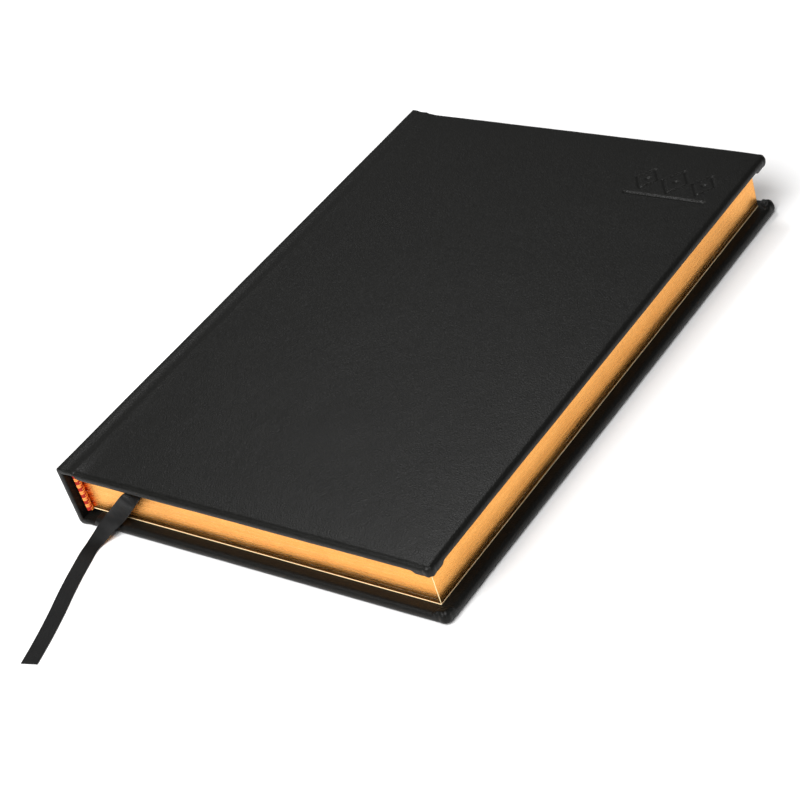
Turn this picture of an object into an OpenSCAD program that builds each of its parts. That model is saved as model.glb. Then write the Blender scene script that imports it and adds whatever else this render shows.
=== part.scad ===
// Prayer book: a square-backed, padded hardcover with gilt page edges and a ribbon marker.
// Millimetres. The book lies on its back cover, +Z up. The spine is at -X, the fore-edge
// at +X, the tail (foot) at -Y and the head at +Y. The origin is under the middle of the
// closed book, on the surface that it lies on.

/* [Closed book] */
// Height of the covers, tail to head
book_h = 215; // [172:1:258]
// Width of the closed book, spine to fore-edge
book_w = 151; // [121:1:182]

/* [Covers] */
// Thickness of the covering leather
leather_t = 0.5; // [0.35:0.05:0.6]
// Thickness of the stiff board in each cover
board_t = 2.0; // [1.6:0.1:2.4]
// Thickness of the foam between board and leather
padding_t = 1.0; // [0.8:0.1:1.3]
// How far the covers stand out past the pages at head, tail and fore-edge
square_w = 4.6; // [3:0.1:6]
// Width of leather turned in round the inside of a cover and left uncovered
turn_in_w = 3.6; // [2.5:0.1:5]
// Distance from the outside of the spine to the edge of each cover
joint_w = 8; // [7:0.1:9.6]

/* [Spine] */
// Thickness of the stiff strip in the spine
spine_board_t = 1.7; // [1.2:0.1:2]
// Air gap between the spine strip and the back of the sewn pages
hollow_gap = 0.4; // [0.3:0.05:0.7]
// Thickness of the paper lining on the back of the pages
lining_t = 0.4; // [0.3:0.05:0.5]
// Thickness of the gauze glued to the folds of the sections
mull_t = 0.4; // [0.3:0.05:0.5]

/* [Pages] */
// Number of sewn sections that stay flat, below the ribbon
fixed_sections = 8; // [4:1:16]
// Thickness of one section of folded sheets
section_t = 1.5; // [1.2:0.05:1.8]
// Thickness of an end leaf
flyleaf_t = 0.3; // [0.2:0.05:0.4]
// Clearance between two pieces that move past each other
page_gap = 0.1; // [0.08:0.01:0.2]

/* [Headbands] */
// Diameter of the beaded roll at the head and tail of the spine
headband_d = 2.2; // [1.6:0.1:2.8]
// How far the tape of a headband reaches down the back of the pages
headband_tape_l = 8; // [6:0.5:10]

/* [Ribbon marker] */
// Width of the ribbon
ribbon_w = 6; // [4:0.5:8]
// Thickness of the ribbon
ribbon_t = 0.3; // [0.2:0.05:0.4]

/* [Hidden] */
$fn = 48;

// One cover: leather, foam, board and the leather or paper of its inner face
cover_t = leather_t + padding_t + board_t + leather_t;
cover_r = cover_t / 2;

// Heights through the closed book, from the table up
back_leaf_z = cover_t + page_gap;
fixed_z = back_leaf_z + flyleaf_t;
ribbon_z = fixed_z + fixed_sections * section_t;
second_z = ribbon_z + ribbon_t + page_gap;
first_z = second_z + section_t + page_gap;
front_leaf_z = first_z + section_t + page_gap;
front_z = front_leaf_z + flyleaf_t + page_gap;
book_t = front_z + cover_t;

// Places across the book, measured from the middle
spine_x = -book_w / 2;
spine_t = leather_t + spine_board_t;
cover_x = spine_x + joint_w;
fore_x = book_w / 2;
lining_x = spine_x + spine_t + hollow_gap;
mull_x = lining_x + lining_t;
page_x = mull_x + mull_t;
page_w = fore_x - square_w - page_x;
page_h = book_h - 2 * square_w;

// The covers hinge about the middle of the spine's rounded edges
hinge_inset = spine_t / 2;

// The leather in the joint is split where the first leaf passes as it turns
leaf_radius = cover_t + page_gap - hinge_inset;
joint_split_x = page_x + leaf_radius - 3 * page_gap;
flange_x = joint_split_x + 2 * page_gap;

// Route of the free end of the ribbon, from the tail edge of the pages to its cut end
RIBBON = [
    [-46.8, -103.1, 16.5],
    [-46.9, -104.4, 16.4],
    [-48.8, -106.0, 14.9],
    [-52.5, -106.2, 11.2],
    [-56, -106.6, 7.8],
    [-58.4, -107.9, 5.6],
    [-60.2, -109.9, 3.8],
    [-61.8, -112.2, 1.8],
    [-62.6, -115, 0.6],
    [-62.2, -118.5, 0.3],
    [-61, -122.5, 0.3],
    [-59, -129, 0.3],
    [-56.4, -136.5, 0.3],
    [-53.5, -144, 0.3],
    [-50.7, -152, 0.3],
    [-48.5, -159, 0.3],
    [-46.6, -165.6, 0.3],
];
// How far the ribbon's flat side leans from facing up towards facing the tail, in degrees
RIBBON_LEAN = [0, 35, 75, 90, 85, 65, 55, 45, 20, 0, 0, 0, 0, 0, 0, 0, 0];

function section_name(n) = str("section_", n < 10 ? "0" : "", n);

// A plate with fully rounded edges and corners, shrunk all over by inset
module round_plate(inset) {
    r = cover_r - inset;
    x0 = cover_x + cover_r;
    x1 = fore_x - cover_r;
    y1 = book_h / 2 - cover_r;
    hull() {
        translate([x0, -y1, inset])
            cube([x1 - x0, 2 * y1, cover_t - 2 * inset]);
        for (x = [x0, x1])
            for (y = [-y1, y1])
                translate([x, y, cover_r])
                    sphere(r = r, $fn = 32);
    }
}

// The rectangle of the inner face that the endpaper covers
module endpaper_window(z0, z1) {
    x0 = cover_x + turn_in_w;
    translate([x0, turn_in_w - book_h / 2, z0])
        cube([fore_x - turn_in_w - x0, book_h - 2 * turn_in_w, z1 - z0]);
}

// A slab that spans a cover between two heights
module cover_layer(z0, z1) {
    translate([cover_x, -book_h / 2, z0])
        cube([fore_x - cover_x, book_h, z1 - z0]);
}

// The four layers of a cover whose inner face is on top
module cover_leather() {
    color([0.09, 0.09, 0.085])
        difference() {
            union() {
                round_plate(0);
                cover_flange();
            }
            round_plate(leather_t);
            endpaper_window(cover_t - leather_t, cover_t + 1);
        }
}

// The cover's own share of the leather in the joint
module cover_flange() {
    translate([flange_x, leather_t - book_h / 2, hinge_inset - leather_t / 2])
        cube([cover_x + leather_t - flange_x, book_h - 2 * leather_t, leather_t]);
}

module cover_padding() {
    color([0.85, 0.83, 0.72])
        intersection() {
            round_plate(leather_t);
            cover_layer(leather_t, leather_t + padding_t);
        }
}

module cover_board() {
    color([0.45, 0.42, 0.38])
        intersection() {
            round_plate(leather_t);
            cover_layer(leather_t + padding_t, cover_t - leather_t);
        }
}

module cover_pastedown() {
    color([0.93, 0.9, 0.82])
        endpaper_window(cover_t - leather_t, cover_t);
}

// Turns a piece of the lower cover over to make the same piece of the upper one
module upper() {
    translate([0, 0, book_t])
        mirror([0, 0, 1])
            children();
}

// Stands an outline in X and Z up along the length of the spine
module along_spine(length) {
    translate([0, length / 2, 0])
        rotate([90, 0, 0])
            linear_extrude(height = length)
                children();
}

module spine_leather() {
    color([0.09, 0.09, 0.085])
        difference() {
            along_spine(book_h)
                translate([spine_x, 0])
                    spine_panel_outline(0);
            along_spine(book_h - 2 * leather_t)
                translate([spine_x + leather_t, leather_t])
                    square([spine_t, book_t - 2 * leather_t]);
        }
}

// The spine panel's section: a flat strip with half-round long edges
module spine_panel_outline(inset) {
    r = spine_t / 2;
    translate([inset, r])
        square([spine_t - 2 * inset, book_t - spine_t]);
    for (z = [r, book_t - r])
        translate([r, z])
            circle(r = r - inset);
}

module spine_board() {
    color([0.45, 0.42, 0.38])
        along_spine(book_h - 2 * leather_t)
            translate([spine_x + leather_t, leather_t + spine_t / 2])
                square([spine_board_t, book_t - 2 * leather_t - spine_t]);
}

// The spine's share of the leather in the joint, dipping into a shallow valley
module joint_leather() {
    x0 = spine_x + spine_t;
    x1 = joint_split_x;
    mid = (x0 + x1) / 2;
    top = hinge_inset - leather_t / 2;
    dip = top + leather_t;
    color([0.09, 0.09, 0.085])
        along_spine(book_h - 2 * leather_t)
            polygon([
                [x0, top],
                [mid, dip],
                [x1, top],
                [x1, top + leather_t],
                [mid, dip + leather_t],
                [x0, top + leather_t],
            ]);
}

module spine_lining() {
    color([0.13, 0.12, 0.11])
        translate([lining_x, -page_h / 2, back_leaf_z])
            cube([lining_t, page_h, front_z - page_gap - back_leaf_z]);
}

module spine_mull() {
    length = page_h - 2 * headband_tape_l;
    color([0.18, 0.18, 0.17])
        translate([mull_x, -length / 2, back_leaf_z])
            cube([mull_t, length, front_z - page_gap - back_leaf_z]);
}

// A beaded roll across the end of the pages, on a tape glued to their back
module headband() {
    r = headband_d / 2;
    height = front_z - page_gap - back_leaf_z;
    color([0.62, 0.18, 0.1]) {
        translate([mull_x, page_h / 2 - headband_tape_l, back_leaf_z])
            cube([mull_t, headband_tape_l + r, height]);
        translate([mull_x + r, page_h / 2 + r, back_leaf_z])
            cylinder(r = r, h = height);
    }
}

module headband_head() {
    headband();
}

module headband_tail() {
    mirror([0, 1, 0])
        headband();
}

// A single end leaf lying at a given height
module leaf(z) {
    color([0.93, 0.9, 0.82])
        translate([page_x, -page_h / 2, z])
            cube([page_w, page_h, flyleaf_t]);
}

// One section of folded sheets, its fold rounded and against the spine
module section(z) {
    r = section_t / 2;
    color([0.86, 0.62, 0.27])
        along_spine(page_h) {
            translate([page_x + r, z])
                square([page_w - r, section_t]);
            translate([page_x + r, z + r])
                circle(r = r);
        }
}

// The ribbon inside the pages, slanting from the head of the spine to the tail edge
module ribbon_inner() {
    half = ribbon_w / 2;
    head = [page_x + ribbon_w, page_h / 2 - 2];
    exit = [RIBBON[0][0], -page_h / 2];
    turn = exit + [6, 14];
    color([0.1, 0.1, 0.1])
        translate([0, 0, ribbon_z])
            linear_extrude(height = ribbon_t)
                polygon([
                    head - [half, 0],
                    turn - [half, 0],
                    exit - [half, 0],
                    exit + [half, 0],
                    turn + [half, 0],
                    head + [half, 0],
                ]);
}

// Direction of the ribbon's route at one of its points
function route_dir(i) =
    let (a = RIBBON[max(i - 1, 0)])
    let (b = RIBBON[min(i + 1, len(RIBBON) - 1)])
    (b - a) / norm(b - a);

// Eight corners of the ribbon's flat section at one of its route points
function ribbon_ring(i) =
    let (lean = RIBBON_LEAN[i])
    let (face = [0, -sin(lean), cos(lean)])
    let (side = cross(route_dir(i), face))
    let (across = side / norm(side))
    let (up = cross(across, route_dir(i)))
    [
        for (k = [0 : 7])
            let (u = [1, 1, 0.9, -0.9, -1, -1, -0.9, 0.9][k] * ribbon_w / 2)
            let (v = [-0.5, 0.5, 1, 1, 0.5, -0.5, -1, -1][k] * ribbon_t / 2)
            RIBBON[i] + across * u + up * v
    ];

module ribbon_tail() {
    count = len(RIBBON);
    color([0.1, 0.1, 0.1])
        polyhedron(
            points = [for (i = [0 : count - 1]) each ribbon_ring(i)],
            faces = [
                [for (k = [0 : 7]) k],
                for (i = [0 : count - 2])
                    for (k = [0 : 7])
                        let (a = 8 * i + k)
                        let (b = 8 * i + (k + 1) % 8)
                        each [[a, a + 8, b], [b, a + 8, b + 8]],
                [for (k = [7 : -1 : 0]) 8 * (count - 1) + k],
            ]
        );
}

cover_leather();  // back_leather
cover_padding();  // back_padding
cover_board();  // back_board
cover_pastedown();  // back_pastedown
joint_leather();  // back_joint_leather
spine_leather();
spine_board();
spine_lining();
spine_mull();
headband_head();
headband_tail();
leaf(back_leaf_z);  // back_flyleaf
for (i = [1 : fixed_sections])
    section(fixed_z + (i - 1) * section_t);
ribbon_inner();
ribbon_tail();
section(second_z);  // section_02
section(first_z);  // section_01
leaf(front_leaf_z);  // front_flyleaf
upper() joint_leather();  // front_joint_leather
upper() cover_pastedown();  // front_pastedown
upper() cover_board();  // front_board
upper() cover_padding();  // front_padding
upper() cover_leather();  // front_leather
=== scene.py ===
"""Prayer book: looks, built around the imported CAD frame. Lengths in metres."""
import math
import bpy
import numpy as np
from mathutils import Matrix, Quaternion, Vector, noise


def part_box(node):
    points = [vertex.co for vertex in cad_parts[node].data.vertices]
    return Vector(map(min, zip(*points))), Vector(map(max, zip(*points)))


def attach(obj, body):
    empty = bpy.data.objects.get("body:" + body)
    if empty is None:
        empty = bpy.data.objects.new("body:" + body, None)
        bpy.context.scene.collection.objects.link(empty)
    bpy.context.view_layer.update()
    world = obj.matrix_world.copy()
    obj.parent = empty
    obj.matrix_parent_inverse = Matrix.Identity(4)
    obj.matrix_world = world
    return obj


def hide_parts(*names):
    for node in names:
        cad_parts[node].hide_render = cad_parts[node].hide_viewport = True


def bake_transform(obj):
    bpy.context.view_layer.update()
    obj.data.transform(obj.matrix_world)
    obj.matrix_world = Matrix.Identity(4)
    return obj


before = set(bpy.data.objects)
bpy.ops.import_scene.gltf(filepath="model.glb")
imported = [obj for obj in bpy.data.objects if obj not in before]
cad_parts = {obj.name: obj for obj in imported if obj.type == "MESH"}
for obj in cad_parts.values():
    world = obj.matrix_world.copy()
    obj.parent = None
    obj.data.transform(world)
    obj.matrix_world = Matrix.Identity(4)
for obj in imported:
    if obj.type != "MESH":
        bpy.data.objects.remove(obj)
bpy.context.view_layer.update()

MM = 0.001

# ---------------------------------------------------------------- camera
CAMERA_AT = Vector((0.4227, -0.4380, 0.4313))
CAMERA_AIM = Vector((0.0082, -0.0305, 0.0100))
CAMERA_ROLL = math.radians(-18.69)
CAMERA_LENS = 98.8

camera = bpy.data.objects.new("camera", bpy.data.cameras.new("camera"))
bpy.context.scene.collection.objects.link(camera)
camera.location = CAMERA_AT
aim = (CAMERA_AIM - CAMERA_AT).to_track_quat("-Z", "Y")
camera.rotation_mode = "QUATERNION"
camera.rotation_quaternion = aim @ Quaternion((0, 0, 1), CAMERA_ROLL)
camera.data.lens = CAMERA_LENS
camera.data.sensor_width = 36
camera.data.clip_start = 0.01
camera.data.clip_end = 20
bpy.context.scene.camera = camera
bpy.context.scene.view_settings.view_transform = "Standard"

# ---------------------------------------------------------------- sizes, from the frame
cover_lo, cover_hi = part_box("front_leather")
back_lo, back_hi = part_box("back_leather")
spine_lo, spine_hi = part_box("spine_leather")
page_lo, page_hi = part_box("section_03")
leaf_lo, leaf_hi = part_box("front_flyleaf")
TOP = cover_hi.z
COVER_T = back_hi.z - back_lo.z
SPINE_X = spine_lo.x
SPINE_T = spine_hi.x - spine_lo.x
FORE_X = cover_hi.x
HALF_H = cover_hi.y
WIDTH = FORE_X - SPINE_X
PAGE_FORE = page_hi.x
PAGE_HALF = page_hi.y


# ---------------------------------------------------------------- node helpers
class Nodes:
    """A short way to write a material's node tree. Scales are per metre, in object coordinates."""

    def __init__(self, name):
        self.mat = bpy.data.materials.new(name)
        self.mat.use_nodes = True
        self.tree = self.mat.node_tree
        self.tree.nodes.clear()
        self.out = self.tree.nodes.new("ShaderNodeOutputMaterial")
        self.bsdf = self.tree.nodes.new("ShaderNodeBsdfPrincipled")
        self.link(self.bsdf.outputs[0], self.out.inputs[0])
        self.coord = self.tree.nodes.new("ShaderNodeTexCoord").outputs["Object"]

    def link(self, a, b):
        self.tree.links.new(a, b)

    def put(self, socket, value):
        if isinstance(value, bpy.types.NodeSocket):
            self.link(value, socket)
        else:
            socket.default_value = value

    def mapped(self, scale, rotation=(0, 0, 0)):
        node = self.tree.nodes.new("ShaderNodeMapping")
        self.link(self.coord, node.inputs["Vector"])
        node.inputs["Scale"].default_value = scale
        node.inputs["Rotation"].default_value = rotation
        return node.outputs[0]

    def noise(self, scale, detail=3, rough=0.5, vector=None, distortion=0.0):
        node = self.tree.nodes.new("ShaderNodeTexNoise")
        self.link(vector or self.coord, node.inputs["Vector"])
        node.inputs["Scale"].default_value = scale
        node.inputs["Detail"].default_value = detail
        node.inputs["Roughness"].default_value = rough
        node.inputs["Distortion"].default_value = distortion
        return node.outputs["Fac"]

    def voronoi(self, scale, feature="F1", vector=None):
        node = self.tree.nodes.new("ShaderNodeTexVoronoi")
        node.feature = feature
        self.link(vector or self.coord, node.inputs["Vector"])
        node.inputs["Scale"].default_value = scale
        return node.outputs["Distance"]

    def wave(self, scale, axis="X", vector=None):
        node = self.tree.nodes.new("ShaderNodeTexWave")
        node.bands_direction = axis
        self.link(vector or self.coord, node.inputs["Vector"])
        node.inputs["Scale"].default_value = scale
        return node.outputs["Fac"]

    def math(self, kind, a, b=0.0, c=None):
        node = self.tree.nodes.new("ShaderNodeMath")
        node.operation = kind
        self.put(node.inputs[0], a)
        self.put(node.inputs[1], b)
        if c is not None:
            self.put(node.inputs[2], c)
        return node.outputs[0]

    def ramp(self, value, low, high, out_low=0.0, out_high=1.0):
        node = self.tree.nodes.new("ShaderNodeMapRange")
        self.put(node.inputs[0], value)
        for k, v in zip((1, 2, 3, 4), (low, high, out_low, out_high)):
            node.inputs[k].default_value = v
        return node.outputs[0]

    def mix(self, fac, a, b):
        node = self.tree.nodes.new("ShaderNodeMix")
        node.data_type = "RGBA"
        self.put(node.inputs[0], fac)
        self.put(node.inputs[6], a)
        self.put(node.inputs[7], b)
        return node.outputs[2]

    def bump(self, height, distance, strength=1.0, normal=None):
        node = self.tree.nodes.new("ShaderNodeBump")
        node.inputs["Strength"].default_value = strength
        node.inputs["Distance"].default_value = distance
        self.link(height, node.inputs["Height"])
        if normal is not None:
            self.link(normal, node.inputs["Normal"])
        return node.outputs[0]

    def finish(self, **sockets):
        names = {
            "color": "Base Color",
            "rough": "Roughness",
            "metal": "Metallic",
            "normal": "Normal",
            "sheen": "Sheen Weight",
            "specular": "Specular IOR Level",
            "sheen_rough": "Sheen Roughness",
        }
        for key, value in sockets.items():
            self.put(self.bsdf.inputs[names[key]], value)
        return self.mat


def rgb(r, g, b):
    """A linear colour, as a node socket takes it."""
    return (r, g, b, 1.0)


# ---------------------------------------------------------------- materials
def leather_material():
    """Fine-grained black leather: pores and pebbles, with a slow crinkle under them."""
    n = Nodes("black_leather")
    grain = n.voronoi(1150, "DISTANCE_TO_EDGE")
    fine = n.noise(1900, 4, 0.65)
    crinkle = n.noise(420, 4, 0.6, distortion=0.5)
    pores = n.ramp(grain, 0.0, 0.3)
    height = n.math("MULTIPLY_ADD", pores, 0.4, n.math("MULTIPLY", fine, 0.6))
    normal = n.bump(height, 0.15 * MM, 0.5)
    normal = n.bump(crinkle, 0.16 * MM, 0.35, normal)
    tone = n.mix(n.ramp(fine, 0.35, 0.65), rgb(0.0034, 0.0034, 0.0031), rgb(0.0068, 0.0068, 0.0061))
    rough = n.ramp(fine, 0.3, 0.7, 0.30, 0.42)
    return n.finish(color=tone, rough=rough, normal=normal, specular=0.14)


def gilt_material():
    """Gold leaf over the cut edges of the sheets, which show as fine lines across z."""
    n = Nodes("gilt_edge")
    sheets = n.noise(1.0, 4, 0.7, n.mapped((60, 60, 2600)))
    bands = n.noise(1.0, 3, 0.6, n.mapped((9, 9, 420)))
    blotch = n.noise(110, 4, 0.6)
    speck = n.noise(900, 3, 0.7)
    normal = n.bump(sheets, 0.05 * MM, 0.3)
    normal = n.bump(bands, 0.12 * MM, 0.2, normal)
    normal = n.bump(speck, 0.04 * MM, 0.5, normal)
    color = n.mix(n.ramp(bands, 0.3, 0.7), rgb(0.91, 0.40, 0.085), rgb(0.98, 0.47, 0.12))
    color = n.mix(n.ramp(blotch, 0.45, 0.75, 0.0, 0.3), color, rgb(0.74, 0.29, 0.05))
    color = n.mix(n.ramp(speck, 0.3, 0.7, 0.25, 0.0), color, rgb(0.60, 0.24, 0.04))
    rough = n.ramp(sheets, 0.3, 0.7, 0.22, 0.32)
    return n.finish(color=color, rough=rough, metal=1.0, normal=normal)


def paper_material(name, color_a, color_b, scale=900):
    """Paper or board: fibres of two tones, a little cloudy."""
    n = Nodes(name)
    fibre = n.noise(scale, 4, 0.65, distortion=1.2)
    cloud = n.noise(45, 3, 0.5)
    color = n.mix(n.ramp(fibre, 0.3, 0.7), color_a, color_b)
    color = n.mix(n.ramp(cloud, 0.4, 0.7, 0.0, 0.25), color, color_b)
    normal = n.bump(fibre, 0.03 * MM, 0.4)
    return n.finish(color=color, rough=0.82, normal=normal, specular=0.25)


def cloth_material(name, color_a, color_b, pitch):
    """An open plain weave."""
    n = Nodes(name)
    warp = n.wave(pitch, "X")
    weft = n.wave(pitch, "Y")
    weave = n.math("MULTIPLY", warp, weft)
    fuzz = n.noise(pitch * 4, 2, 0.5)
    color = n.mix(n.ramp(weave, 0.0, 0.8), color_a, color_b)
    height = n.math("MULTIPLY_ADD", fuzz, 0.3, weave)
    normal = n.bump(height, 0.08 * MM, 0.6)
    return n.finish(color=color, rough=0.7, normal=normal, sheen=0.1, specular=0.3)


def ribbon_material():
    """Black satin: two sets of threads a little off the axes, with fine specks between them."""
    n = Nodes("ribbon_satin")
    turned = n.mapped((1, 1, 1), (0, 0, math.radians(15)))
    warp = n.wave(900, "X", turned)
    weft = n.wave(1500, "Y", turned)
    weave = n.math("MULTIPLY_ADD", warp, 0.6, n.math("MULTIPLY", weft, 0.4))
    streak = n.noise(160, 3, 0.6)
    color = n.mix(n.ramp(weave, 0.1, 0.9), rgb(0.001, 0.001, 0.001), rgb(0.009, 0.009, 0.009))
    speck = n.noise(1800, 2, 0.7)
    normal = n.bump(weave, 0.06 * MM, 0.6)
    normal = n.bump(speck, 0.1 * MM, 0.7, normal)
    rough = n.ramp(streak, 0.3, 0.7, 0.38, 0.52)
    return n.finish(
        color=color, rough=rough, normal=normal, sheen=0.02, sheen_rough=0.4, specular=0.14
    )


def thread_material(name, color_a, color_b):
    """Twisted silk thread."""
    n = Nodes(name)
    twist = n.wave(1700, "DIAGONAL")
    fuzz = n.noise(3000, 2, 0.5)
    color = n.mix(twist, color_a, color_b)
    height = n.math("MULTIPLY_ADD", fuzz, 0.4, twist)
    normal = n.bump(height, 0.05 * MM, 0.7)
    return n.finish(color=color, rough=0.5, normal=normal, specular=0.3)


def foam_material():
    """Open-celled foam."""
    n = Nodes("padding_foam")
    cells = n.voronoi(1800)
    color = n.mix(n.ramp(cells, 0.1, 0.6), rgb(0.50, 0.47, 0.34), rgb(0.78, 0.74, 0.58))
    return n.finish(color=color, rough=0.9, normal=n.bump(cells, 0.2 * MM, 0.5), specular=0.2)


LEATHER = leather_material()
GILT = gilt_material()
PAPER = paper_material("cream_paper", rgb(0.62, 0.575, 0.475), rgb(0.66, 0.62, 0.53))
# paper at the fore-corner bevels and the back leaf's edges, coloured far brighter than the paper:
# partly the paper edge showing, mostly a painted highlight line
PALE_EDGE_HIGHLIGHT = paper_material("pale_edge_painted_highlight", rgb(0.95, 0.72, 0.36), rgb(1.0, 0.82, 0.50), 1500)
ENDPAPER = paper_material("endpaper", rgb(0.63, 0.59, 0.495), rgb(0.68, 0.64, 0.55), 700)
BOARD = paper_material("greyboard", rgb(0.20, 0.185, 0.16), rgb(0.34, 0.32, 0.28), 500)
# the spine lining is coloured near black as painted shade: its ends at head and tail lie in the shadow
# under the leather
LINING_PAINTED_SHADE = paper_material("kraft_lining", rgb(0.010, 0.009, 0.008), rgb(0.020, 0.018, 0.016), 420)
MULL = cloth_material("mull_cloth", rgb(0.012, 0.012, 0.012), rgb(0.035, 0.034, 0.032), 900)
FOAM = foam_material()
RIBBON = ribbon_material()
RED = thread_material("thread_red", rgb(0.22, 0.006, 0.002), rgb(0.50, 0.018, 0.006))
GOLD = thread_material("thread_gold", rgb(0.80, 0.16, 0.02), rgb(0.95, 0.40, 0.10))


# ---------------------------------------------------------------- mesh helpers
def make_object(name, verts, faces, materials, face_mats=None, sharp_deg=None):
    """A smooth-shaded mesh object, with edges sharper than sharp_deg left sharp."""
    mesh = bpy.data.meshes.new(name)
    mesh.from_pydata([tuple(v) for v in verts], [], [tuple(f) for f in faces])
    for m in materials:
        mesh.materials.append(m)
    if face_mats is not None:
        mesh.polygons.foreach_set("material_index", face_mats)
    mesh.polygons.foreach_set("use_smooth", [True] * len(mesh.polygons))
    mesh.validate()
    mesh.update()
    obj = bpy.data.objects.new(name, mesh)
    bpy.context.scene.collection.objects.link(obj)
    if sharp_deg:
        mesh.set_sharp_from_angle(angle=math.radians(sharp_deg))
    return obj


def closed_sheet(outer, inner):
    """Verts and faces of a closed shell from two grids. They share their rim, apart from the
    first row, which a strip of faces closes."""
    rows, cols = outer.shape[:2]
    index_out = np.arange(rows * cols).reshape(rows, cols)
    index_in = np.full((rows, cols), -1)
    verts = [p for p in outer.reshape(-1, 3)]
    rim = np.zeros((rows, cols), bool)
    rim[-1, :] = rim[:, 0] = rim[:, -1] = True
    for i in range(rows):
        for j in range(cols):
            if rim[i, j]:
                index_in[i, j] = index_out[i, j]
            else:
                index_in[i, j] = len(verts)
                verts.append(inner[i, j])
    faces = []
    for i in range(rows - 1):
        for j in range(cols - 1):
            k, m = i + 1, j + 1
            faces.append((index_out[i, j], index_out[k, j], index_out[k, m], index_out[i, m]))
            faces.append((index_in[i, j], index_in[i, m], index_in[k, m], index_in[k, j]))
    for j in range(cols - 1):
        loop = (index_out[0, j], index_out[0, j + 1], index_in[0, j + 1], index_in[0, j])
        faces.append(tuple(dict.fromkeys(loop)))
    return verts, faces


def bump_1d(x, centre, half):
    """A round bump of height 1 at centre, 0 from half away on."""
    t = np.clip(np.abs(x - centre) / half, 0, 1)
    return np.cos(t * math.pi / 2) ** 2


def smooth(x):
    """0 below 0, 1 above 1, and a soft step between."""
    t = np.clip(x, 0, 1)
    return t * t * (3 - 2 * t)


def graded(start, stop, step, edge_start=0.0, edge_stop=0.0, edge_count=10):
    """Stations from start to stop, crowded towards the ends that are rounded."""
    lo, hi = start + edge_start, stop - edge_stop
    middle = np.linspace(lo, hi, max(2, int(round((hi - lo) / step)) + 1))
    parts = []
    if edge_start:
        parts.append(start + edge_start * (1 - np.cos(np.linspace(0, math.pi / 2, edge_count))))
    parts.append(middle)
    if edge_stop:
        parts.append(stop - edge_stop * (1 - np.cos(np.linspace(math.pi / 2, 0, edge_count))))
    return np.unique(np.round(np.concatenate(parts), 9))


# ---------------------------------------------------------------- blind-stamped ornament
ORNAMENT_AT = (0.0525, 0.0830)
ORNAMENT_DEPTH = 0.34 * MM
LOZENGE_PITCH = 11.0 * MM
LOZENGE_HALF_W = 4.9 * MM
LOZENGE_HALF_H = 6.6 * MM
LOZENGE_SCALE = 3.9 * MM  # turns the ring's value into a distance from its line
LOZENGE_LINE = 0.62 * MM
OUTER_LOZENGE = 0.86  # the two outer lozenges are smaller than the middle one
BEAD_R = 1.35 * MM
LOZENGES_ABOVE = 1.2 * MM
RULE_BELOW = 9.0 * MM
RULE_HALF = 15.5 * MM


def ornament_depth(x, y):
    """Depth of the blind stamping: three lozenges, each with a bead, over a short rule."""
    dx, dy = x - ORNAMENT_AT[0], y - ORNAMENT_AT[1] - LOZENGES_ABOVE
    depth = np.zeros_like(x)
    for k in (-1, 0, 1):
        cx = dx - k * LOZENGE_PITCH
        size = 1.0 if k == 0 else OUTER_LOZENGE
        ring = np.abs(cx) / (LOZENGE_HALF_W * size) + np.abs(dy) / (LOZENGE_HALF_H * size) - 1
        ring = ring * LOZENGE_SCALE * size
        line = np.clip(1 - np.abs(ring) / LOZENGE_LINE, 0, 1)
        bead = np.clip(1 - np.hypot(cx, dy) / BEAD_R, 0, 1)
        depth = np.maximum(depth, np.maximum(line, bead))
    rule = np.maximum(np.abs(dy + RULE_BELOW) - 0.25 * MM, np.abs(dx) - RULE_HALF)
    depth = np.maximum(depth, np.clip(1 - np.maximum(rule, 0) / (0.5 * MM), 0, 1))
    return smooth(depth)


# ---------------------------------------------------------------- the covers' shape
CORNER = 2.2 * MM
JOINT_DEPTH = 2.35 * MM  # how deep the inner side of the case lies along the joint
JOINT_END_U = 12.0 * MM  # where the joint's grid goes over to the cover's
SPINE_EDGE_R = 1.3 * MM


def round_plan(U, V):
    """How far to shift points of a cover so that its two fore corners come out round."""
    a = np.maximum(U - (WIDTH - CORNER), 0)
    b = np.maximum(np.abs(V) - (HALF_H - CORNER), 0)
    both = (a > 0) & (b > 0)
    shrink = np.where(both, np.maximum(a, b) / np.maximum(np.hypot(a, b), 1e-12), 1.0)
    shift_u = np.where(both, WIDTH - CORNER + a * shrink, U) - U
    plan_v = np.where(both, np.sign(V) * (HALF_H - CORNER + b * shrink), V)
    return shift_u, plan_v


def crown_depth(U, V):
    """How much lower the padded cover is near its edges than in its middle."""
    fore, end = WIDTH - U, HALF_H - np.abs(V)
    on_cover = np.clip((U - 8 * MM) / (4 * MM), 0, 1)
    edges = 0.5 * MM * np.exp(-np.maximum(np.minimum(fore, end) - 0.5 * MM, 0) / (6.5 * MM))
    joint_side = 0.1 * MM * np.exp(-np.maximum(U - 8.5 * MM, 0) / (5 * MM))
    corners = 0.4 * MM * np.exp(-np.maximum(np.hypot(fore, end) - 2.5 * MM, 0) / (7 * MM))
    return (edges + joint_side + corners) * on_cover


def inner_depth(u):
    """Depth of a cover's inner side at u: shallow along the joint, then the whole cover."""
    return JOINT_DEPTH + (COVER_T - JOINT_DEPTH) * smooth((u - 7.4 * MM) / (1.4 * MM))


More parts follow.
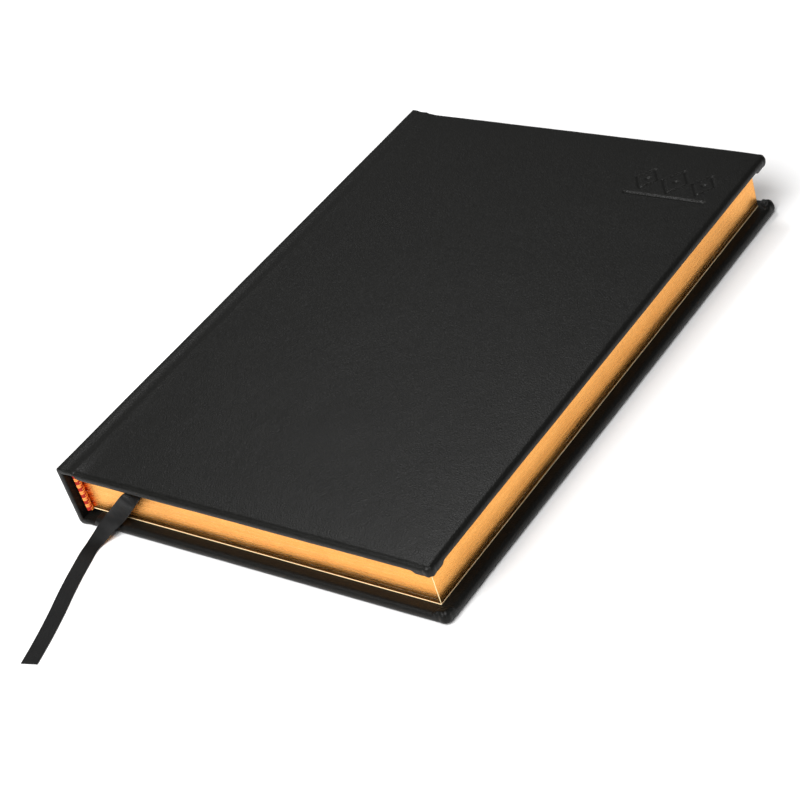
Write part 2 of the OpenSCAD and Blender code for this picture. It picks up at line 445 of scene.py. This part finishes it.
# ---------------------------------------------------------------- leather case, in two halves
def cover_stations(front):
    """Grid lines across and along one cover, close together at its edges and its ornament."""
    ends, step, count = 9.0 * MM, 2.6 * MM, 28
    u = list(graded(JOINT_END_U, WIDTH, step, 0, ends, count)[1:])
    v = list(graded(-HALF_H, HALF_H, step, ends, ends, count))
    if front:
        fine = 0.36 * MM
        u0, u1 = ORNAMENT_AT[0] - SPINE_X - 17 * MM, ORNAMENT_AT[0] - SPINE_X + 17 * MM
        v0, v1 = ORNAMENT_AT[1] - 10 * MM, ORNAMENT_AT[1] + 9 * MM
        u = [a for a in u if not u0 <= a <= u1] + list(np.arange(u0, u1, fine))
        v = [a for a in v if not v0 <= a <= v1] + list(np.arange(v0, v1, fine))
    return np.array(sorted(u)), np.array(sorted(v))


def corner_fold(U, V, front):
    """Depth of the leather gathered and folded in under each fore corner, clear of the pages."""
    fore, end = np.maximum(WIDTH - U, 0), HALF_H - np.abs(V)
    from_corner = np.hypot(WIDTH - U, end)
    clear = np.maximum(U - (PAGE_FORE - SPINE_X), np.abs(V) - PAGE_HALF) - 0.35 * MM
    reach, deep = (7.6 * MM, 1.2) if front else (5.6 * MM, 0.95)
    fold = smooth((reach - from_corner) / (1.3 * MM)) * smooth(clear / (0.8 * MM))
    turn = np.degrees(np.arctan2(end, fore))
    tuck = np.exp(-(((from_corner - 4.1 * MM) / (0.5 * MM)) ** 2)) * np.exp(-(((turn - 52) / 20) ** 2))
    return fold * (deep - 0.55 * tuck) * MM


def unevenness(verts, front):
    """How far each point of the leather stands out: slow waves, and pleats where it is
    gathered round the fore corners. The side the endpaper is pasted to stays flat."""
    depth = (TOP - verts[:, 2]) if front else verts[:, 2]
    shift = np.zeros(len(verts))
    for i, p in enumerate(verts):
        q = Vector((p[0], p[1], p[2] * 0.5))
        shift[i] = 0.075 * MM * noise.noise(q * 48) + 0.035 * MM * noise.noise(q * 160)
    low = np.clip((depth - 0.7 * MM) / (1.2 * MM), 0, 1)
    for side in (-1, 1):
        dx = verts[:, 0] - (FORE_X - 5.2 * MM)
        dy = (verts[:, 1] - side * (HALF_H - 5.2 * MM)) * side
        angle = np.degrees(np.arctan2(dy, dx))
        outward = np.clip((np.hypot(dx, dy) - 2.0 * MM) / (3.0 * MM), 0, 1)
        for centre, width, deep in ((22, 5, 0.14), (45, 4.5, 0.2), (68, 5, 0.14)):
            shift -= deep * MM * outward * low * np.exp(-(((angle - centre) / width) ** 2))
        shift += 0.08 * MM * (np.exp(-(((angle - 45) / 26) ** 2)) * outward)
    # none at the seam between the two halves, or where the book lies on the floor
    shift *= smooth((np.abs(verts[:, 2] - TOP / 2) - 0.5 * MM) / (4 * MM))
    if not front:
        shift[verts[:, 2] < 0.25 * MM] = 0
    by_pages = (verts[:, 0] < PAGE_FORE + 1 * MM) & (np.abs(verts[:, 1]) < PAGE_HALF + 1 * MM)
    shift[by_pages & (depth > 2.1 * MM) & (verts[:, 0] > SPINE_X + 1.4 * MM)] = 0
    return shift


def case_half(name, front):
    """Half of the leather case: from the middle of the spine, round its edge, across the
    joint and over one cover, with the leather turned in all round. Depth is from outside."""
    # the section through spine, joint and cover: its outer and its inner line
    r = SPINE_EDGE_R
    face = np.linspace(TOP / 2, 2.6 * MM, 7)
    arc = np.linspace(0, math.pi / 2, 9)
    joint = np.linspace(r, JOINT_END_U, 40)[1:]
    cover_u, y = cover_stations(front)
    out_u = np.concatenate([0 * face, r - r * np.cos(arc), joint, cover_u])
    groove = 0.2 * MM * bump_1d(joint, 5.2 * MM, 3.4 * MM)
    out_d = np.concatenate([face, r - r * np.sin(arc), groove, 0 * cover_u])
    spine_in = SPINE_T + 0.05 * MM
    joint_in = spine_in + (joint - r) * (JOINT_END_U - spine_in) / (JOINT_END_U - r)
    in_u = np.concatenate([0 * face + spine_in, 0 * arc + spine_in, joint_in, cover_u])
    arc_in = np.linspace(2.6 * MM, JOINT_DEPTH, len(arc))
    in_d = np.concatenate([face, arc_in, inner_depth(joint_in), 0 * cover_u + COVER_T])

    # both lines along the whole height, with crown, ornament and round corners
    U, V = np.meshgrid(out_u, y, indexing="ij")
    shift_u, plan_v = round_plan(U, V)
    OU, OD = U + shift_u, np.repeat(out_d[:, None], len(y), 1)
    IU, ID = np.repeat(in_u[:, None], len(y), 1) + shift_u, np.repeat(in_d[:, None], len(y), 1)
    OD = OD + crown_depth(U, V) * (1.0 if front else 0.5)
    if front:
        OD = OD + ORNAMENT_DEPTH * ornament_depth(SPINE_X + OU, plan_v)

    # the two close up round the edges, on a curve a little squarer than an ellipse
    to_rim = np.minimum(WIDTH - U, HALF_H - np.abs(V))
    on_spine = smooth((4.5 * MM - U) / (2.0 * MM))
    rounding = np.hypot(OU - IU, OD - ID) / 2 * (1 - on_spine) + 0.45 * MM * on_spine
    t = np.clip(to_rim / np.maximum(rounding, 1e-6), 0, 1)
    k = (1 - (1 - t) ** 2.15) ** (1 / 2.15)
    MU, MD, DU, DD = (OU + IU) / 2, (OD + ID) / 2, (OU - IU) / 2, (OD - ID) / 2

    def place(u, d):
        z = TOP - d if front else d
        return np.stack([SPINE_X + u, plan_v, z], -1)

    outer = place(MU + DU * k, MD + DD * k)
    inner = place(MU - DU * k, MD - DD * k + corner_fold(U, V, front) * k)
    verts, faces = closed_sheet(outer, inner)
    if not front:
        faces = [f[::-1] for f in faces]
    verts = np.array(verts, float)
    obj = make_object(name, verts, faces, [LEATHER], sharp_deg=62)
    normals = np.zeros((len(verts), 3))
    obj.data.vertices.foreach_get("normal", normals.reshape(-1))
    moved = verts + normals * unevenness(verts, front)[:, None]
    # never under the floor, nor past the CAD box by more than a hair
    if not front:
        moved[:, 2] = np.maximum(moved[:, 2], 0.0)
    moved[:, 2] = np.minimum(moved[:, 2], TOP + 0.1 * MM)
    obj.data.vertices.foreach_set("co", moved.reshape(-1))
    obj.data.update()
    return obj


front_case = case_half("front_case_leather", True)
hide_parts("front_leather", "front_joint_leather", "spine_leather")
back_case = case_half("back_case_leather", False)
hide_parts("back_leather", "back_joint_leather")
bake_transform(front_case)
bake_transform(back_case)


# ---------------------------------------------------------------- padding of the front cover
def front_cover_padding():
    """The foam under the front leather. It thins out towards the edges, as the leather does."""
    lo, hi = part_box("front_padding")
    ends, step, count = 8 * MM, 3 * MM, 16
    u = graded(lo.x - SPINE_X, hi.x - SPINE_X, step, ends, ends, count)
    v = graded(lo.y, hi.y, step, ends, ends, count)
    U, V = np.meshgrid(u, v, indexing="ij")
    border = np.minimum(np.minimum(U - u[0], u[-1] - U), np.minimum(V - v[0], v[-1] - V))
    t = np.clip(border / (1.0 * MM), 0, 1)
    bottom = TOP - lo.z + 0 * U
    top = np.minimum(TOP - hi.z + 0.08 * MM + crown_depth(U, V), bottom - 0.12 * MM)
    top = bottom - (bottom - top) * np.sqrt(1 - (1 - t) ** 2)
    skin = 0.6 * MM
    shift_u, plan_v = round_plan(U + skin, V + np.sign(V) * skin)
    plan_v = plan_v - np.sign(V) * skin
    outer = np.stack([SPINE_X + U + shift_u, plan_v, TOP - top], -1)
    inner = np.stack([SPINE_X + U + shift_u, plan_v, TOP - bottom], -1)
    outer[0] = inner[0]
    obj = make_object("front_cover_padding", *closed_sheet(outer, inner), [FOAM], sharp_deg=60)
    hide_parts("front_padding")
    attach(obj, "front_cover")


front_cover_padding()


# ---------------------------------------------------------------- ribbon marker
# the free end's centre line, in millimetres, from the block's tail edge to the cut end
ROUTE = [
    (-46.8, -103.1, 16.5),
    (-46.9, -104.4, 16.4),
    (-48.8, -106.0, 14.9),
    (-52.5, -106.2, 11.2),
    (-56, -106.6, 7.8),
    (-58.4, -107.9, 5.6),
    (-60.2, -109.9, 3.8),
    (-61.8, -112.2, 1.8),
    (-62.6, -115, 0.6),
    (-62.2, -118.5, 0.3),
    (-61, -122.5, 0.3),
    (-59, -129, 0.3),
    (-56.4, -136.5, 0.3),
    (-53.5, -144, 0.3),
    (-50.7, -152, 0.3),
    (-48.5, -159, 0.3),
    (-46.6, -165.6, 0.3),
]
# how far the ribbon's flat side leans over towards the tail at each of those points, in degrees
LEAN = [0, 35, 75, 90, 85, 65, 55, 45, 20, 0, 0, 0, 0, 0, 0, 0, 0]
RIBBON_W = 6.0 * MM
RIBBON_T = 0.28 * MM


def smooth_route(points, per=8):
    """A Catmull-Rom curve through the points, with per stations to each span."""
    p = np.array(points, float)
    p = np.vstack([2 * p[0] - p[1], p, 2 * p[-1] - p[-2]])
    out = []
    for i in range(1, len(p) - 2):
        for s in np.arange(per) / per:
            a, b, c, d = p[i - 1 : i + 3]
            square, cube = 2 * a - 5 * b + 4 * c - d, 3 * b - a - 3 * c + d
            out.append(0.5 * (2 * b + (c - a) * s + square * s**2 + cube * s**3))
    out.append(p[-2])
    return np.array(out)


def strip(name, line, faces_up, width, thick, material):
    """A flat woven strip along line; faces_up gives its flat side's direction at each point."""
    tangent = np.gradient(line, axis=0)
    tangent /= np.linalg.norm(tangent, axis=1)[:, None]
    across = np.cross(tangent, faces_up)
    across /= np.linalg.norm(across, axis=1)[:, None]
    up = np.cross(across, tangent)
    # half of its cross section: thicker woven edges, rounded off
    us = np.array([1, 0.97, 0.9, 0.6, 0.2, -0.2, -0.6, -0.9, -0.97, -1])
    vs = np.array([0.45, 0.95, 1, 0.82, 0.8, 0.8, 0.82, 1, 0.95, 0.45])
    ring_u = np.concatenate([us, us[::-1]]) * width / 2
    ring_v = np.concatenate([vs, -vs[::-1]]) * thick / 2
    count = len(ring_u)
    verts, faces = [], []
    for i, c in enumerate(line):
        for u, v in zip(ring_u, ring_v):
            verts.append(c + across[i] * u + up[i] * v)
    for i in range(len(line) - 1):
        for k in range(count):
            a, b = i * count + k, i * count + (k + 1) % count
            faces.append((a, b, b + count, a + count))
    half = count // 2
    for base, flip in ((0, True), ((len(line) - 1) * count, False)):
        for k in range(half - 1):
            quad = (base + k, base + k + 1, base + count - 2 - k, base + count - 1 - k)
            faces.append(quad[::-1] if flip else quad)
    return make_object(name, verts, faces, [material], sharp_deg=50)


route = smooth_route(ROUTE) * MM
lean = np.radians(np.interp(np.linspace(0, len(LEAN) - 1, len(route)), range(len(LEAN)), LEAN))
facing = np.stack([0 * lean, -np.sin(lean), np.cos(lean)], -1)
ribbon = strip("ribbon_marker_tail", route, facing, RIBBON_W, RIBBON_T, RIBBON)
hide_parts("ribbon_tail")
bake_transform(ribbon)

inner_lo, inner_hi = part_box("ribbon_inner")
inside = smooth_route(
    [
        (-66.1, 100.9, 0),
        (-65.5, 80, 0),
        (-61, 30, 0),
        (-53, -30, 0),
        (-45, -70, 0),
        (-41.5, -87, 0),
        (-43.5, -96, 0),
        (-46.4, -101.5, 0),
        (-46.8, -103.0, 0),
    ],
    10,
) * MM
inside[:, 2] = (inner_lo.z + inner_hi.z) / 2
upward = np.tile([0.0, 0.0, 1.0], (len(inside), 1))
marker = strip("ribbon_marker_inside", inside, upward, RIBBON_W, RIBBON_T, RIBBON)
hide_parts("ribbon_inner")
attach(marker, "book_block")


# ---------------------------------------------------------------- pages
FLAT, CUT, BEVEL = 0, 1, 2  # material slots of a stack: paper, gilt edge, pale corner bevel with painted highlight


def page_stack(name, lo, hi, fold, edge_noise, seed, fine_gutter=False, grow=None):
    """A stack of sheets as one closed mesh: flat faces of paper, three gilt edges with a
    bevel at the two fore corners, coloured pale as a painted highlight, and a fold at the
    spine. grow(x, y) gives how far the stack reaches below and above its box."""
    x0, x1, z0, z1 = lo.x, hi.x, lo.z, hi.z
    gutter = np.linspace(0, 16 * MM, 33) if fine_gutter else np.linspace(0, 4 * MM, 5)
    bevel_width = 0.16 * MM
    xs = np.concatenate([x0 + gutter, np.linspace(x0 + gutter[-1], x1 - bevel_width, 26)[1:], [x1]])
    ys = np.concatenate([[lo.y], np.linspace(lo.y + bevel_width, hi.y - bevel_width, 84), [hi.y]])
    walls = max(1, int(round((z1 - z0) / (0.5 * MM))))
    levels = np.linspace(0, 1, walls + 1)

    def wobble(a, z):
        q = Vector((a * 22 + seed * 3.7, z * 900, seed * 1.3))
        return edge_noise * noise.noise(q)

    nx, ny, nl = len(xs), len(ys), len(levels)
    r = (z1 - z0) / 2
    verts, index = [], {}

    def vert(i, j, m):
        key = (i, j, m)
        if key not in index:
            x, y = xs[i], ys[j]
            below, above = grow(x, y) if grow else (0, 0)
            z = z0 - below + (z1 - z0 + above + below) * levels[m]
            if fold and i == 0:
                x += r * (1 - math.sqrt(max(0.0, 1 - (2 * levels[m] - 1) ** 2))) * 0.9
            if i == nx - 1:
                x += wobble(y, z)
            if j in (0, ny - 1):
                y += math.copysign(wobble(x, z), y)
            index[key] = len(verts)
            verts.append((x, y, z))
        return index[key]

    faces, mats = [], []

    def wall(a, b, m, mat):
        """One face between two grid points, from level m to the next."""
        faces.append((vert(*a, m), vert(*b, m), vert(*b, m + 1), vert(*a, m + 1)))
        mats.append(mat)

    corners = {(nx - 1, 0), (nx - 1, ny - 1)}
    for i in range(nx - 1):
        for j in range(ny - 1):
            ring = [(i, j), (i + 1, j), (i + 1, j + 1), (i, j + 1)]
            ring = [c for c in ring if c not in corners]
            faces.append(tuple(vert(*c, nl - 1) for c in ring))
            faces.append(tuple(vert(*c, 0) for c in reversed(ring)))
            mats += [FLAT, FLAT]
    last = ny - 1
    for m in range(nl - 1):
        for j in range(ny - 1):
            if 0 < j < ny - 2:
                wall((nx - 1, j), (nx - 1, j + 1), m, CUT)
            wall((0, j + 1), (0, j), m, FLAT)
        for i in range(nx - 2):
            wall((i, 0), (i + 1, 0), m, CUT)
            wall((i + 1, last), (i, last), m, CUT)
        wall((nx - 2, 0), (nx - 1, 1), m, BEVEL)
        wall((nx - 1, last - 1), (nx - 2, last), m, BEVEL)
    return make_object(name, verts, faces, [PAPER, GILT, PALE_EDGE_HIGHLIGHT], mats, sharp_deg=35)


section_names = sorted(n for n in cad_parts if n.startswith("section_"))
moving = {"section_01": "first_section", "section_02": "second_section"}


def pressed_together(number):
    """How far a section reaches towards its neighbours. Beside the ribbon marker, which lies
    between two of them, the pages close up again."""
    lo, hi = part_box(section_names[number])
    slack = 0.006 * MM
    above = below = 0.0
    if number > 0:
        above = (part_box(section_names[number - 1])[0].z - hi.z) / 2 - slack
    if number < len(section_names) - 1:
        below = (lo.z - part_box(section_names[number + 1])[1].z) / 2 - slack
    thin = 0.05 * MM

    def grow(x, y):
        marker_x = np.interp(-y, -inside[:, 1], inside[:, 0])
        beside = float(smooth((abs(x - marker_x) - 7 * MM) / (9 * MM)))
        return tuple(min(gap, thin) + max(gap - thin, 0) * beside for gap in (below, above))

    return grow


for number, node in enumerate(section_names):
    lo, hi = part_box(node)
    grow = pressed_together(number)
    stack = page_stack("pages_" + node, lo, hi, True, 0.02 * MM, number, node in moving, grow)
    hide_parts(node)
    if node in moving:
        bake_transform(stack)
    else:
        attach(stack, "book_block")
PROUD = 0.07 * MM  # how far the back leaf stands out of the sections; its edges, coloured pale as a painted highlight, show as a bright line
for node, body in (("front_flyleaf", "front_end_leaf"), ("back_flyleaf", None)):
    lo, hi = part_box(node)
    if body is None:
        lo, hi = lo - Vector((0, PROUD, 0)), hi + Vector((PROUD, PROUD, 0))
    seed = 40 + len(node)
    leaf = page_stack("leaf_" + node, lo, hi, False, 0.04 * MM, seed, body is not None)
    if body is None:
        # the back leaf's cut edges take the pale colour: a painted highlight line along the block's
        # bottom edge
        leaf.data.materials[CUT] = PALE_EDGE_HIGHLIGHT
    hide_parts(node)
    if body:
        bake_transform(leaf)
    else:
        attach(leaf, "book_block")


# ---------------------------------------------------------------- endpapers on the covers
def endpaper(name, front):
    """The endpaper pasted to the inside of a cover and on across its joint."""
    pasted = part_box("front_pastedown" if front else "back_pastedown")
    over_joint = np.linspace(2.7 * MM, 10 * MM, 40)
    u = np.concatenate([over_joint, np.linspace(10 * MM, pasted[1].x - SPINE_X, 40)[1:]])
    y = np.linspace(pasted[0].y, pasted[1].y, 60)
    U, V = np.meshgrid(u, y, indexing="ij")
    V = V * (1 - 0.012 * smooth((9 * MM - U) / (1.5 * MM)))  # narrower across the joint
    D = np.repeat(inner_depth(u)[:, None], len(y), 1)
    proud, sunk = 0.055 * MM, 0.12 * MM

    def place(d):
        z = TOP - d if front else d
        return np.stack([SPINE_X + U, V, z], -1)

    low, high = place(D + proud), place(D - sunk)
    low[-1], low[:, 0], low[:, -1] = high[-1], high[:, 0], high[:, -1]
    verts, faces = closed_sheet(high, low)
    if not front:
        faces = [f[::-1] for f in faces]
    obj = make_object(name, verts, faces, [ENDPAPER], sharp_deg=60)
    return obj


front_end = endpaper("front_endpaper", True)
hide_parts("front_pastedown")
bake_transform(front_end)
back_end = endpaper("back_endpaper", False)
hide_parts("back_pastedown")
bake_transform(back_end)


# ---------------------------------------------------------------- headbands
def tube_loop(points, radius, sides=8):
    """A round thread along the points, with closed ends."""
    p = np.array(points, float)
    tangent = np.gradient(p, axis=0)
    tangent /= np.linalg.norm(tangent, axis=1)[:, None]
    ref = np.array([0.0, 0.0, 1.0])
    a = np.cross(tangent, ref)
    a /= np.maximum(np.linalg.norm(a, axis=1)[:, None], 1e-9)
    b = np.cross(a, tangent)
    verts, faces = [], []
    for i in range(len(p)):
        for k in range(sides):
            ang = 2 * math.pi * k / sides
            verts.append(p[i] + (a[i] * math.cos(ang) + b[i] * math.sin(ang)) * radius)
    for i in range(len(p) - 1):
        for k in range(sides):
            q, s = i * sides + k, i * sides + (k + 1) % sides
            faces.append((q, q + sides, s + sides, s))
    faces.append(tuple(range(sides)))
    faces.append(tuple(reversed(range((len(p) - 1) * sides, len(p) * sides))))
    return verts, faces


def core_rod(x, y, z0, z1, radius, rings=12, sides=12):
    """An upright round rod."""
    verts, faces = [], []
    for z in np.linspace(z0, z1, rings):
        for k in range(sides):
            ang = 2 * math.pi * k / sides
            verts.append((x + radius * math.cos(ang), y + radius * math.sin(ang), z))
    for i in range(rings - 1):
        for k in range(sides):
            q, s = i * sides + k, i * sides + (k + 1) % sides
            faces.append((q, s, s + sides, q + sides))
    faces.append(tuple(reversed(range(sides))))
    faces.append(tuple(range((rings - 1) * sides, rings * sides)))
    return verts, faces


def tape(xs, ys, zs):
    """A thin closed slab between two x positions, on a grid of ys and zs."""
    verts = [(x, y, z) for x in xs for y in ys for z in zs]
    rows, cols = len(ys), len(zs)
    faces = []

    def at(layer, i, j):
        return (layer * rows + i) * cols + j

    for i in range(rows - 1):
        for j in range(cols - 1):
            faces.append((at(0, i, j), at(0, i, j + 1), at(0, i + 1, j + 1), at(0, i + 1, j)))
            faces.append((at(1, i, j), at(1, i + 1, j), at(1, i + 1, j + 1), at(1, i, j + 1)))
    for i in range(rows - 1):
        k = cols - 1
        faces.append((at(0, i, 0), at(0, i + 1, 0), at(1, i + 1, 0), at(1, i, 0)))
        faces.append((at(0, i, k), at(1, i, k), at(1, i + 1, k), at(0, i + 1, k)))
    for j in range(cols - 1):
        k = rows - 1
        faces.append((at(0, 0, j), at(1, 0, j), at(1, 0, j + 1), at(0, 0, j + 1)))
        faces.append((at(0, k, j), at(0, k, j + 1), at(1, k, j + 1), at(1, k, j)))
    return verts, faces


TURNS = 22
HEADBAND_R = 0.74 * MM


def headband(name, node, side):
    """Two colours of thread wound over a core at one end of the spine, each turn with a bead
    of the other colour at its foot, and the tape that holds the band to the pages."""
    lo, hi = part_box(node)
    r = HEADBAND_R
    cx, cy = lo.x + 0.92 * MM, side * (PAGE_HALF + 1.12 * MM)
    z0, z1 = lo.z + 0.35 * MM, hi.z - 0.35 * MM
    pitch = (z1 - z0) / TURNS
    verts, faces, mats = [], [], []

    def add(part, mat):
        base = len(verts)
        verts.extend(part[0])
        faces.extend(tuple(i + base for i in f) for f in part[1])
        mats.extend([mat] * len(part[1]))

    for k in range(TURNS):
        zc = z0 + pitch * (k + 0.5)
        color = (k // 2) % 2
        loop = []
        for s in np.linspace(0, 1, 17):
            ang = math.radians(-150 + 300 * s)
            lift = 0.42 * pitch * math.sin(ang * 0.6)
            loop.append((cx + r * math.sin(ang) * 0.95, cy + side * r * math.cos(ang), zc + lift))
        add(tube_loop(loop, pitch * 0.56), color)
        bead = []
        for s in np.linspace(0, 1, 9):
            ang = math.radians(60 + 100 * s)
            bead_x = cx + 0.12 * MM + r * 0.85 * math.sin(ang)
            bead_y = cy + side * (r * math.cos(ang) - 0.12 * MM)
            bead.append((bead_x, bead_y, zc + pitch * (s - 0.5)))
        add(tube_loop(bead, pitch * 0.5), 1 - color)
    add(core_rod(cx, cy, z0, z1, 0.75 * r), 2)
    ys = np.linspace(side * (PAGE_HALF - 8 * MM), side * (PAGE_HALF + 0.5 * MM), 12)
    zs = np.linspace(lo.z + 0.1 * MM, hi.z - 0.1 * MM, 14)
    add(tape((lo.x + 0.05 * MM, lo.x + 0.33 * MM), ys, zs), 2)
    obj = make_object(name, verts, faces, [RED, GOLD, MULL], mats, sharp_deg=60)
    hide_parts(node)
    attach(obj, "book_block")


headband("headband_at_head", "headband_head", 1)
headband("headband_at_tail", "headband_tail", -1)

# ---------------------------------------------------------------- CAD nodes that stay
STAYING = {
    "front_board": BOARD,
    "back_board": BOARD,
    "spine_board": BOARD,
    "back_padding": FOAM,
    # near black lining: painted shade for the shadow under the leather at head and tail
    "spine_lining": LINING_PAINTED_SHADE,
    "spine_mull": MULL,
}
for node, material in STAYING.items():
    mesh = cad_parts[node].data
    mesh.materials.clear()
    mesh.materials.append(material)

# ---------------------------------------------------------------- floor, light
FLOOR_HALF = 3.0
signs = ((-1, -1), (1, -1), (1, 1), (-1, 1))
corners = [(x * FLOOR_HALF, y * FLOOR_HALF, 0) for x, y in signs]
floor_mesh = bpy.data.meshes.new("floor")
floor_mesh.from_pydata(corners, [], [(0, 1, 2, 3)])
floor = bpy.data.objects.new("floor", floor_mesh)
bpy.context.scene.collection.objects.link(floor)
floor_nodes = Nodes("pale_floor")
floor_tone = floor_nodes.mix(floor_nodes.noise(3, 2, 0.5), rgb(0.86, 0.86, 0.86), rgb(0.88, 0.88, 0.88))
floor_mesh.materials.append(floor_nodes.finish(color=floor_tone, rough=0.9, specular=0.1))
floor.location.z = -0.05 * MM  # just below the book, so that the two faces never coincide


def area_light(name, at, size, power):
    """A round soft light, aimed at the middle of the book."""
    data = bpy.data.lights.new(name, "AREA")
    data.shape = "DISK"
    data.size = size
    data.energy = power
    obj = bpy.data.objects.new(name, data)
    bpy.context.scene.collection.objects.link(obj)
    obj.location = at
    obj.rotation_mode = "QUATERNION"
    obj.rotation_quaternion = (-Vector(at)).to_track_quat("-Z", "Y")


# the key gives the leather its sheen, and the front light gives the gilt its glow
area_light("key", (-0.47, 0.43, 1.07), 0.30, 5.0)
area_light("front", (0.10, -0.85, 0.95), 1.1, 28)
world = bpy.data.worlds.new("studio")
bpy.context.scene.world = world
world.use_nodes = True
background = world.node_tree.nodes["Background"]
background.inputs["Color"].default_value = rgb(1, 1, 1)
background.inputs["Strength"].default_value = 0.2
